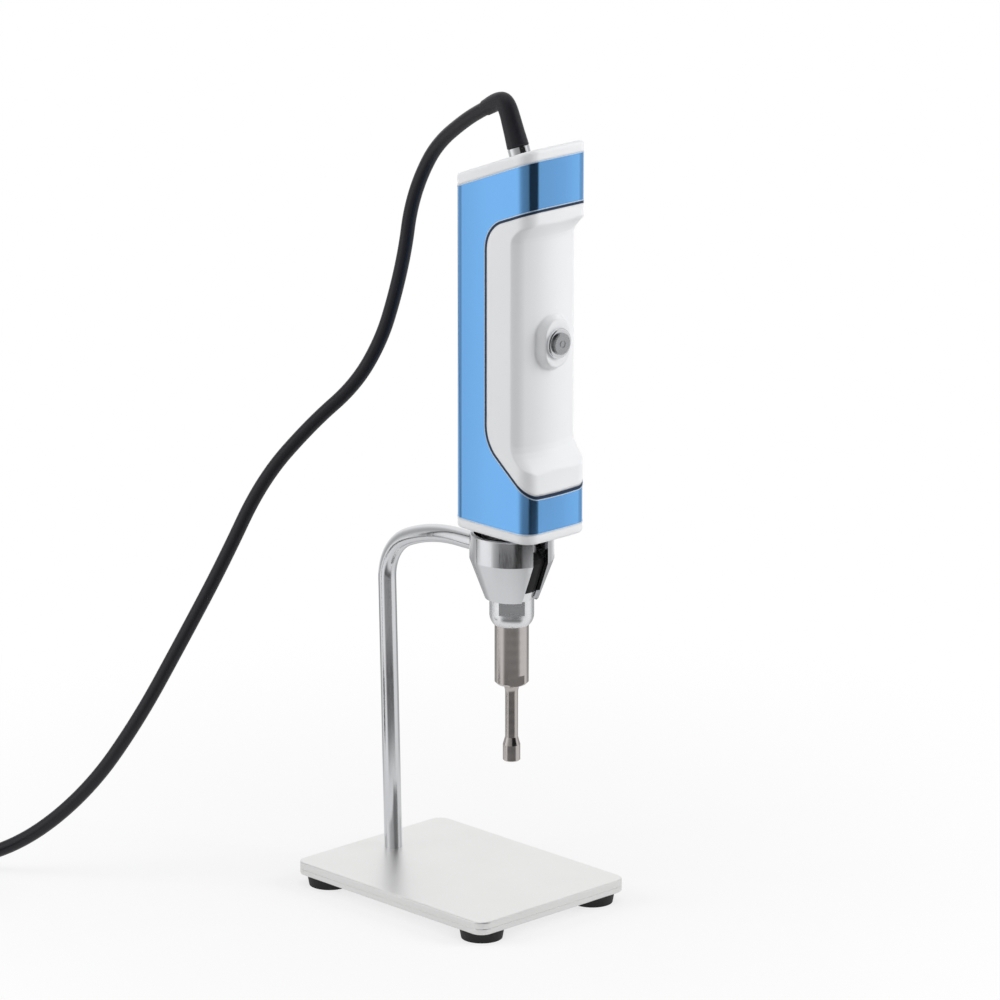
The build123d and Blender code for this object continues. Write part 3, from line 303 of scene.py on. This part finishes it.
FINISHES = {
    # Blasted and dyed aluminium: satin metal whose colour comes from its reflections
    "blue_tube": finish("anodised_aluminium_blue", "7ab9f6", metallic=0.96, rough=0.17, tone=0.05,
                        tone_mm=60, grain_mm=0.35, grain_depth=0.0012),
    # Moulded ABS: white with a soft gloss over a very fine spark texture
    "white_plastic": finish("moulded_abs_white", "ecedef", rough=0.36, tone=0.03, tone_mm=40,
                            grain_mm=0.45, grain_depth=0.002, soft_mm=1.6),
    # Polished stainless rod and cup: near mirror, softened by fine polishing lines
    "polished_steel": finish("polished_stainless", "e4e5e8", metallic=1.0, rough=0.13,
                             rough_spread=0.04, tone=0.03, grain_mm=0.6, grain_depth=0.0006,
                             stretch=(1, 1, 0.12)),
    # Ground stainless plate: satin, lines along the short side
    "satin_steel": finish("ground_stainless", "f3f3f2", metallic=0.85, rough=0.36,
                          rough_spread=0.03, tone=0.05, grain_mm=0.35, grain_depth=0.0012,
                          stretch=(0.03, 1, 1)),
    # Bright screws, nuts and rings
    "fastener_steel": finish("plain_screw_steel", "aeb0b2", metallic=1.0, rough=0.3, grain_mm=0.4),
    # Moulded rubber: matt black with a dusty tooth
    "foot_rubber": finish("moulded_rubber_black", "161616", rough=0.62, tone=0.3, grain_mm=0.6,
                          grain_depth=0.02),
    # Bright-cut aluminium: the line that a cutter leaves along an anodised edge
    "bright_edge": finish("bright_cut_aluminium", "d9ecff", metallic=0.8, rough=0.3, grain_mm=0.3,
                          grain_depth=0.001),
    # Extruded seal: dark navy rubber, its dark colour partly a real seal and partly painted shade
    # of the gap round the grip
    "seal_rubber": finish("seal_rubber_navy_painted_gap_shade", "0c2c4a", rough=0.5, tone=0.2, grain_depth=0.01),
    # Turned aluminium: bright, with lathe marks round the axis
    "silver_aluminium": finish("turned_aluminium", "dcdde0", metallic=1.0, rough=0.25,
                               grain_depth=0.0015, ring_mm=0.8),
    # Moulded nylon: matt black
    "black_plastic": finish("moulded_nylon_black", "101011", rough=0.42, tone=0.2,
                            grain_depth=0.006, Specular_IOR_Level=0.2),
    # Turned steel collar: bright satin with faint lathe marks
    "collar_metal": finish("turned_collar_steel", "f6f7f9", metallic=1.0, rough=0.26,
                           rough_spread=0.02, grain_mm=1.2, grain_depth=0.0002, ring_mm=0.8),
    # Turned titanium: warm grey, darker than steel
    "titanium": finish("turned_titanium", "cbc5c2", metallic=1.0, rough=0.17, rough_spread=0.03,
                       tone=0.04, grain_mm=1.2, grain_depth=0.0002, ring_mm=0.7),
    # Boot: the cable's rubber moulded over a fine checked die
    "boot_rubber": finish("moulded_boot_rubber", "212127", rough=0.42, rough_spread=0.12, tone=0.3,
                          tone_mm=6, grain_mm=0.7, grain_depth=0.03, Specular_IOR_Level=0.35),
    # Fired ceramic: chalky cream
    "piezo_ceramic": finish("fired_piezo_ceramic", "cfc8b2", rough=0.6, grain_mm=0.8,
                            grain_depth=0.01),
    "brass": finish("rolled_brass", "d9b36a", metallic=1.0, rough=0.25, grain_mm=0.4),
    # Plated trim: a mirror with hardly any grain
    "chrome_trim": finish("bright_chrome", "e8e9ec", metallic=1.0, rough=0.08, rough_spread=0.03,
                          tone=0.02, grain_mm=0.6, grain_depth=0.0004),
    # Brushed button: lines across its face
    "button_metal": finish("brushed_button_steel", "b9babd", metallic=1.0, rough=0.28,
                           grain_mm=0.25, grain_depth=0.002, stretch=(0.08, 1, 1)),
    "board_green": finish("lacquered_board", "14532a", rough=0.35, grain_mm=0.6, grain_depth=0.01),
    "ferrite": finish("wound_ferrite", "1c1b1d", rough=0.55, grain_depth=0.02),
    "lead_insulation": finish("lead_insulation_red", "a81e18", rough=0.4),
    # Extruded rubber sheath: black with a faint blue-grey bloom and a soft sheen along the top
    "cable_rubber": finish("extruded_rubber_black", "1f1f25", rough=0.36, rough_spread=0.08,
                           tone=0.25, grain_depth=0.006, Specular_IOR_Level=0.35),
}


def paint(obj, slot):
    """Give every material slot of an object one of the finishes."""
    if not obj.data.materials:
        obj.data.materials.append(FINISHES[slot])
    for place in obj.material_slots:
        place.material = FINISHES[slot]
    return obj


for row in frame["record"]["subparts"]:
    paint(nodes[row["node"]], row["material_slot"])

# Cable: one smooth line from the boot over the handset's back and down to its coil
slant_normal = np.array((0.0, math.sin(TOP_SLANT), math.cos(TOP_SLANT)))
gland_foot = np.array((0.0, BODY_Y, BODY_TOP + TOP_CAP_T / math.cos(TOP_SLANT)))
boot_end = gland_foot + slant_normal * (GLAND_H + BOOT_L)

CORD_SIDES = 28
FOLD_ABOVE_BOOT = 6.6
COIL_CENTRE = (-192.0, 178.0)
COIL_START = math.radians(41.3)
COIL_END = math.radians(180.0 + 360.0 * 4)
COIL_MEAN_D = 68.0
COIL_PITCH = 7.0
COIL_TOP = 9.9
COIL_RUN_IN = 29.0
COIL_LEAD_OUT = 12.4
COIL_POINTS = 16
TINY_TURN = 1e-4


def smooth_step(share):
    """Passage from 0 to 1 that starts and ends level: 3 share^2 - 2 share^3."""
    return share**2 * (3 - 2 * share)


def coil_line(angle):
    """Centre of the cord at each angle: radius falls to the middle turn and grows again, one
    layer up.

    radius = inner + pitch / (2 pi) * |past|, rounded off within a quarter turn of the middle, where
    the height goes from the lower to the upper layer as a smooth step.
    """
    middle = (COIL_START + COIL_END) / 2
    rate = COIL_PITCH / (2 * np.pi)
    inner = COIL_MEAN_D / 2 - rate * (COIL_END - COIL_START) / 4
    past = angle - middle
    half = np.pi / 2
    spiral = np.where(np.abs(past) < half, past**2 / (2 * half) + half / 2, np.abs(past))
    radius = inner + rate * spiral
    climb = smooth_step(np.clip(past / (2 * half) + 0.5, 0, 1))
    return np.stack(
        [
            COIL_CENTRE[0] + radius * np.cos(angle),
            COIL_CENTRE[1] + radius * np.sin(angle),
            CORD_D / 2 + (COIL_TOP - CORD_D / 2) * climb,
        ],
        axis=-1,
    )


def unit(vector):
    """Vector of length one the same way."""
    return vector / np.linalg.norm(vector)


coil_turns = (COIL_END - COIL_START) / (2 * np.pi)
coil_angles = np.linspace(COIL_START, COIL_END, round(coil_turns * COIL_POINTS) + 1)
coil_points = coil_line(coil_angles)
way_in = unit(coil_line(COIL_START + TINY_TURN) - coil_points[0])
way_out = unit(coil_points[-1] - coil_line(COIL_END - TINY_TURN))
coil_in = coil_points[0] - way_in * CORD_D

cord_route = [
    boot_end,
    boot_end + slant_normal * FOLD_ABOVE_BOOT,
    (0.4, -21.5, 364.1),
    (0.5, -14.5, 360.2),
    (0.6, -1.5, 352.8),
    (0.8, 16.6, 339.1),
    (0.2, 26.6, 323.3),
    (-1.7, 31.4, 307.1),
    (-4.5, 31.5, 290.4),
    (-9.1, 33.1, 270.5),
    (-15.4, 35.4, 250.3),
    (-23.6, 43.5, 229.9),
    (-36.9, 57.2, 212.6),
    (-53.2, 72.3, 186.8),
    (-66.0, 84.0, 149.0),
    (-79.0, 98.0, 112.0),
    (-92.0, 112.0, 76.0),
    (-106.0, 129.0, 43.0),
    (-123.0, 152.0, 17.0),
    coil_in - way_in * COIL_RUN_IN,
    coil_in,
    *coil_points,
    coil_points[-1] + way_out * COIL_LEAD_OUT,
]


def smooth_line(points):
    """Points, in millimetres, of the NURBS line that has the given control points."""
    data = bpy.data.curves.new("cable_line", "CURVE")
    data.dimensions = "3D"
    data.resolution_u = 10
    line = data.splines.new("NURBS")
    line.points.add(len(points) - 1)
    for place, point in zip(line.points, points):
        place.co = (*(np.asarray(point) * MM), 1.0)
    line.order_u = 3
    line.use_endpoint_u = True
    holder = bpy.data.objects.new("cable_line", data)
    scene.collection.objects.link(holder)
    bpy.context.view_layer.update()
    shown = holder.evaluated_get(bpy.context.evaluated_depsgraph_get())
    mesh = bpy.data.meshes.new_from_object(shown)
    found = np.empty(len(mesh.vertices) * 3)
    mesh.vertices.foreach_get("co", found)
    bpy.data.objects.remove(holder)
    bpy.data.meshes.remove(mesh)
    return found.reshape(-1, 3) / MM


cable_path = smooth_line(cord_route)
cable_tube = tube(cable_path, CORD_D / 2, CORD_SIDES)
cable = piece("cable", *cable_tube, None, "cable_rubber")
paint(cable, "cable_rubber")
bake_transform(cable)
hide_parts("cable_free", "cable_coil")

# Boot: one moulded sleeve over the cable's first bend, thick at the gland and thin at its lip
BOOT_SIDES = 40
BOOT_END = BOOT_L + 20.0
BOOT_LIP = BOOT_END - 0.6
BOOT_RINGS = 90
# Distance up the boot and its radius there
BOOT_SHAPE = [
    (0, BOOT_R - 0.3),
    (0.4, BOOT_R),
    (6, 4.55),
    (BOOT_L, 4.3),
    (22, 4.15),
    (29, 3.8),
    (BOOT_LIP, 3.55),
    (BOOT_END, CORD_D / 2 + 0.1),
]
boot_foot = gland_foot + slant_normal * (GLAND_H + np.linspace(0, BOOT_L, 28))[:, None]
boot_line = np.concatenate([boot_foot, cable_path[1:]])
boot_steps = np.linalg.norm(np.diff(boot_line, axis=0), axis=1)
boot_way = np.concatenate([[0], np.cumsum(boot_steps)])
boot_lip = BOOT_END - np.array([0.3, 0.1, 0])
boot_at = np.concatenate([np.linspace(0, BOOT_LIP, BOOT_RINGS), boot_lip])
boot_path = np.stack([np.interp(boot_at, boot_way, places) for places in boot_line.T], axis=-1)
boot_tube = tube(boot_path, np.interp(boot_at, *zip(*BOOT_SHAPE)), BOOT_SIDES)
boot = paint(piece("boot", *boot_tube, "handset", "cable_rubber"), "boot_rubber")
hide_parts("cable_boot")

# Return spring under the button: the same coil
SPRING_WIRE = 0.4
SPRING_TURNS = 3
SPRING_SIDES = 10
SPRING_STEPS = 36
spring_low, spring_high = (np.array(corner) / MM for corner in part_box("button_spring"))
spring_turn = np.linspace(0, 2 * np.pi * SPRING_TURNS, SPRING_STEPS * SPRING_TURNS + 1)
spring_r = (spring_high[0] - spring_low[0] - SPRING_WIRE) / 2
spring_middle = (spring_low + spring_high) / 2
spring_ends = (spring_low[1] + SPRING_WIRE / 2, spring_high[1] - SPRING_WIRE / 2)
spring_path = np.stack(
    [
        spring_middle[0] + spring_r * np.cos(spring_turn),
        np.linspace(*spring_ends, len(spring_turn)),
        spring_middle[2] + spring_r * np.sin(spring_turn),
    ],
    axis=-1,
)
spring_tube = tube(spring_path, SPRING_WIRE / 2, SPRING_SIDES)
spring = piece("return_spring", *spring_tube, "handset", "fastener_steel")
paint(spring, "fastener_steel")
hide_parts("button_spring")
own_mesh(spring)


# Bright-cut edges of the anodised tube: at both ends and round the window
ARC_POINTS = 24
CROWN_POINTS = 16


def arc(centre, radius, first, last, count):
    """Points of an arc between two angles, in the plane of its centre."""
    angle = np.linspace(first, last, count)
    return centre + radius * np.stack([np.cos(angle), np.sin(angle)], axis=-1)


def section_outline():
    """Front half of the tube's outline from its left side to its right, the rest of it, and the
    centre and radius of the arc that crowns the right side.

    Each point is centre + radius * (cos a, sin a) of the arc whose normals have that angle a: a
    wide arc for each crowned face and a small one for each corner, which touches both.
    """
    half_w, half_d = BODY_W / 2, BODY_D / 2
    side_r = ((half_d - FACE_CROWN) ** 2 + FACE_CROWN**2) / (2 * FACE_CROWN)
    end_r = ((half_w - FACE_CROWN) ** 2 + FACE_CROWN**2) / (2 * FACE_CROWN)
    side_c = np.array((half_w - side_r, 0.0))
    end_c = np.array((0.0, half_d - end_r))
    apart = end_c - side_c
    gap = np.linalg.norm(apart)
    near, far = side_r - BODY_CORNER_R, end_r - BODY_CORNER_R
    along = (near**2 - far**2 + gap**2) / (2 * gap) * apart / gap
    aside = math.sqrt(near**2 - along @ along) * np.array((-apart[1], apart[0])) / gap
    corner = max((side_c + along - aside, side_c + along + aside), key=sum)
    first = math.atan2(*(corner - side_c)[::-1])
    last = math.atan2(*(corner - end_c)[::-1])
    quarter = np.concatenate(
        [
            arc(side_c, side_r, 0, first, ARC_POINTS),
            arc(corner, BODY_CORNER_R, first, last, ARC_POINTS)[1:],
            arc(end_c, end_r, last, np.pi / 2, CROWN_POINTS)[1:],
        ]
    )
    front = np.concatenate([quarter * (-1, -1), (quarter * (1, -1))[-2::-1]])
    return front, (front * (-1, -1))[1:-1], side_c[0], side_r


def corner_arc(before, corner, after, radius):
    """Points of the arc that rounds a corner of a flat line, from its leg before to that after."""
    back, ahead = unit(before - corner), unit(after - corner)
    half = math.acos(np.dot(back, ahead)) / 2
    centre = corner + unit(back + ahead) * radius / math.sin(half)
    start = corner + back * radius / math.tan(half) - centre
    end = corner + ahead * radius / math.tan(half) - centre
    t = np.linspace(0, 1, ARC_POINTS)[:, None]
    full = math.pi - 2 * half
    return centre + (np.sin((1 - t) * full) * start + np.sin(t * full) * end) / math.sin(full)


def at_height(outline, height):
    """Outline points as places in space, each at its height."""
    heights = np.broadcast_to(height, len(outline))
    return np.stack([outline[:, 0], outline[:, 1] + BODY_Y, heights], axis=-1)


EDGE_R = 0.24
EDGE_SIDES = 10


def bright_edge(name, path):
    """Fine closed tube along an edge of the body, its normals away from the body's middle."""
    tangent = np.roll(path, -1, 0) - np.roll(path, 1, 0)
    tangent /= np.linalg.norm(tangent, axis=1, keepdims=True)
    normal = (path - (0, BODY_Y, 0)) * (1, 1, 0)
    normal -= tangent * (normal * tangent).sum(1, keepdims=True)
    normal /= np.linalg.norm(normal, axis=1, keepdims=True)
    points = rings_along(path, EDGE_R, normal, np.cross(tangent, normal), EDGE_SIDES)
    faces = grid_faces(len(path), EDGE_SIDES, wrap_rows=True)
    made = piece(name, points.reshape(-1, 3), faces, "handset", "silver_aluminium")
    paint(made, "bright_edge")


front_half, rear_half, side_x, side_r = section_outline()
whole = np.concatenate([front_half, rear_half])
slope = math.tan(TOP_SLANT)
bright_edge("top_edge", at_height(whole, BODY_TOP - slope * whole[:, 1] - EDGE_R))
bright_edge("bottom_edge", at_height(whole, BODY_BOTTOM + EDGE_R))

LEG = 10.0
CUT_MARGIN = 0.5
window_low = BODY_BOTTOM + BOTTOM_BAND
window_slope = WINDOW_SLOPE_H / (WINDOW_BEHIND + BODY_D / 2)
window_top = BODY_TOP - TOP_BAND
low_corner = np.array((WINDOW_BEHIND, window_low + WINDOW_SLOPE_H))
top_corner = np.array((WINDOW_BEHIND, window_top - slope * WINDOW_BEHIND))
low_leg = low_corner + (-LEG, -LEG * window_slope)
top_leg = top_corner + (-LEG, LEG * slope)
low_arc = corner_arc(low_leg, low_corner, top_corner, WINDOW_LOW_R)
top_arc = corner_arc(low_corner, top_corner, top_leg, WINDOW_TOP_R)
side_line = np.concatenate([low_arc, top_arc])
side_x_at = side_x + np.sqrt(side_r**2 - side_line[:, 0] ** 2)
left = np.stack([-side_x_at, side_line[:, 0] + BODY_Y, side_line[:, 1]], axis=-1)
above = front_half[front_half[:, 1] < top_arc[-1, 0] - CUT_MARGIN]
below = front_half[front_half[:, 1] < low_arc[0, 0] - CUT_MARGIN]
window_edge = [
    left,
    at_height(above, window_top - slope * above[:, 1]),
    (left * (-1, 1, 1))[::-1],
    at_height(below, window_low + window_slope * (below[:, 1] + BODY_D / 2))[::-1],
]
bright_edge("window_edge", np.concatenate(window_edge))

# Bench, and a round light tent that only reflections see
FLOOR_R = 6000.0
TENT_R = 460.0
TENT_H = 1300.0
TENT_FOOT = 25.0
HANDSET_SEEN_FROM = 0.046

# Distances from the part's middle, in metres, over which the bench's shade ends, its grey mirrored
# patch under the part gives way to what lies round it, and that to what lies far off
SHADE_ENDS = (0.06, 0.42)
PATCH_ENDS = (0.12, 0.22)
FAR_STARTS = (0.33, 0.38)

# Brightness by the degrees round the part from the camera's side, negative to the camera's left.
# On the bench, as reflections find it: darker before the part and behind it, light at its sides.
BENCH_LIGHT = [
    (-180, 0.42), (-125, 0.42), (-108, 0.78), (-60, 0.84), (-42, 0.06), (50, 0.06), (62, 0.78),
    (108, 0.78), (125, 0.42), (180, 0.42),
]
FAR_BENCH_LIGHT = [
    (-180, 0.36), (-125, 0.36), (-108, 0.85), (-60, 0.90), (-42, 0.32), (42, 0.32), (60, 0.85),
    (108, 0.85), (125, 0.36), (180, 0.36),
]
# On the tent: the low band that the cup mirrors, and the rest, which the handset mirrors
CUP_LIGHT = [
    (-180, 0.92), (-150, 0.90), (-122, 0.50), (-106, 0.45), (-98, 0.62), (-88, 1.0), (-56, 1.0),
    (-46, 0.50), (-33, 0.25), (-29, 0.02), (27, 0.02), (31, 0.34), (55, 0.60), (62, 0.95),
    (96, 0.90), (122, 0.50), (150, 0.90), (180, 0.92),
]
HANDSET_LIGHT = [
    (-180, 0.92), (-150, 0.90), (-122, 0.50), (-106, 0.42), (-98, 0.62), (-93, 0.84), (-88, 1.0),
    (-70, 0.95), (-46, 0.52), (-33, 0.40), (-12, 0.34), (6, 0.30), (12, 0.02), (66, 0.02),
    (74, 0.66), (84, 0.72), (89, 1.0), (93, 1.0), (97, 0.66), (122, 0.50), (150, 0.90),
    (180, 0.92),
]


def stage_material(obj, name):
    """Node tree of a new material, with nothing in it but its output, on a piece of the stage."""
    material = bpy.data.materials.new(name)
    material.use_nodes = True
    tree = material.node_tree
    tree.nodes.remove(tree.nodes["Principled BSDF"])
    obj.data.materials.append(material)
    return tree


def show(tree, shader):
    """Join a shader to the material's output."""
    tree.links.new(shader.outputs[0], tree.nodes["Material Output"].inputs["Surface"])


def light_round(tree, place, stops):
    """Brightness at a place, from (degrees, brightness) stops round the part."""
    turn = {"Vector": place, "Rotation": (0, 0, -VIEW_AZIMUTH)}
    facing = add(tree, "ShaderNodeMapping", turn).outputs[0]
    x, y, _ = add(tree, "ShaderNodeSeparateXYZ", {0: facing}).outputs
    angle = add(tree, "ShaderNodeMath", {0: y, 1: x}, operation="ARCTAN2").outputs[0]
    links = {0: angle, 1: 2 * math.pi}
    share = add(tree, "ShaderNodeMath", links, operation="DIVIDE").outputs[0]
    centred = add(tree, "ShaderNodeMath", {0: share, 1: 0.5}, operation="ADD").outputs[0]
    light = add(tree, "ShaderNodeValToRGB", {0: centred})
    ramp = light.color_ramp
    while len(ramp.elements) < len(stops):
        ramp.elements.new(0.5)
    for stop, (degrees, _) in zip(ramp.elements, stops):
        stop.position = (degrees + 180) / 360
    for stop, (_, level) in zip(ramp.elements, stops):
        stop.color = (level, level, level, 1)
    return light.outputs[0]


def fade(tree, value, start, end, low=0.0, high=1.0):
    """Smooth passage from low to high while a value goes from start to end."""
    links = {"Value": value, "From Min": start, "From Max": end, "To Min": low, "To Max": high}
    node = add(tree, "ShaderNodeMapRange", links, interpolation_type="SMOOTHSTEP")
    return node.outputs[0]


def seen_or_mirrored(tree):
    """One for rays from the camera and for mirrored ones, nought for all others."""
    ray = add(tree, "ShaderNodeLightPath").outputs
    links = {0: ray["Is Camera Ray"], 1: ray["Is Glossy Ray"]}
    return add(tree, "ShaderNodeMath", links, operation="ADD", use_clamp=True).outputs[0]


floor = piece("floor", *turned([(0, 0), (FLOOR_R, 0)]), None)
tree = stage_material(floor, "white_bench")
place = add(tree, "ShaderNodeTexCoord").outputs["Object"]
distance = add(tree, "ShaderNodeVectorMath", {0: place}, operation="LENGTH").outputs["Value"]
shaded = fade(tree, distance, *SHADE_ENDS, low=0.3, high=0.0)
far = fade(tree, distance, *FAR_STARTS)
beyond = mix(
    tree, far, light_round(tree, place, BENCH_LIGHT), light_round(tree, place, FAR_BENCH_LIGHT)
)
round_part = mix(tree, fade(tree, distance, *PATCH_ENDS), (0.7, 0.7, 0.7, 1), beyond)
mirrored = add(tree, "ShaderNodeLightPath").outputs["Is Glossy Ray"]
glare = mix(tree, mirrored, (1, 1, 1, 1), round_part)
glow = add(tree, "ShaderNodeEmission", {"Color": glare, "Strength": 1.0}).outputs[0]
matt = add(tree, "ShaderNodeBsdfDiffuse", {"Color": linear("f4f4f4")}).outputs[0]
plain = add(tree, "ShaderNodeBsdfDiffuse", {"Color": linear("d8d8d8")}).outputs[0]
mixed = add(tree, "ShaderNodeMixShader", {0: shaded, 1: glow, 2: matt}).outputs[0]
show(tree, add(tree, "ShaderNodeMixShader", {0: seen_or_mirrored(tree), 1: plain, 2: mixed}))

tent = piece("light_tent", *turned([(TENT_R, TENT_FOOT), (TENT_R, TENT_H)]), None)
for kind in ("camera", "diffuse", "shadow", "transmission", "volume_scatter"):
    setattr(tent, f"visible_{kind}", False)
tree = stage_material(tent, "tent_cloth")
place = add(tree, "ShaderNodeTexCoord").outputs["Object"]
height = add(tree, "ShaderNodeSeparateXYZ", {0: place}).outputs[2]
links = {0: height, 1: HANDSET_SEEN_FROM}
handset_high = add(tree, "ShaderNodeMath", links, operation="GREATER_THAN").outputs[0]
shade = mix(
    tree, handset_high, light_round(tree, place, CUP_LIGHT), light_round(tree, place, HANDSET_LIGHT)
)
show(tree, add(tree, "ShaderNodeEmission", {"Color": shade, "Strength": 1.0}))

# World: white to the camera and to reflections, a plain soft level to everything else
world = bpy.data.worlds.new("studio")
scene.world = world
world.use_nodes = True
tree = world.node_tree
sky = tree.nodes["Background"]
links = {"Value": seen_or_mirrored(tree), "To Min": 0.38, "To Max": 1.0}
level = add(tree, "ShaderNodeMapRange", links).outputs[0]
sky.inputs["Color"].default_value = (1, 1, 1, 1)
tree.links.new(level, sky.inputs["Strength"])

LIT_POINT = Vector((0, -0.02, 0.2))


def softbox(name, turn, rise, distance, width, height, power):
    """Area lamp that looks at the handset from degrees right of the camera and degrees up."""
    data = bpy.data.lights.new(name, "AREA")
    data.shape = "RECTANGLE"
    data.size = width
    data.size_y = height
    data.energy = power
    lamp = bpy.data.objects.new(name, data)
    away = direction(VIEW_AZIMUTH + math.radians(turn), math.radians(rise))
    lamp.location = LIT_POINT + away * distance
    lamp.rotation_euler = away.to_track_quat("Z", "Y").to_euler()
    lamp.visible_glossy = False
    scene.collection.objects.link(lamp)


softbox("left_softbox", -82, 20, 1.1, 0.6, 0.9, 6.1)
softbox("right_softbox", 82, 20, 1.1, 0.6, 0.9, 8.0)
softbox("overhead_softbox", 0, 82, 1.2, 0.9, 0.9, 3.2)
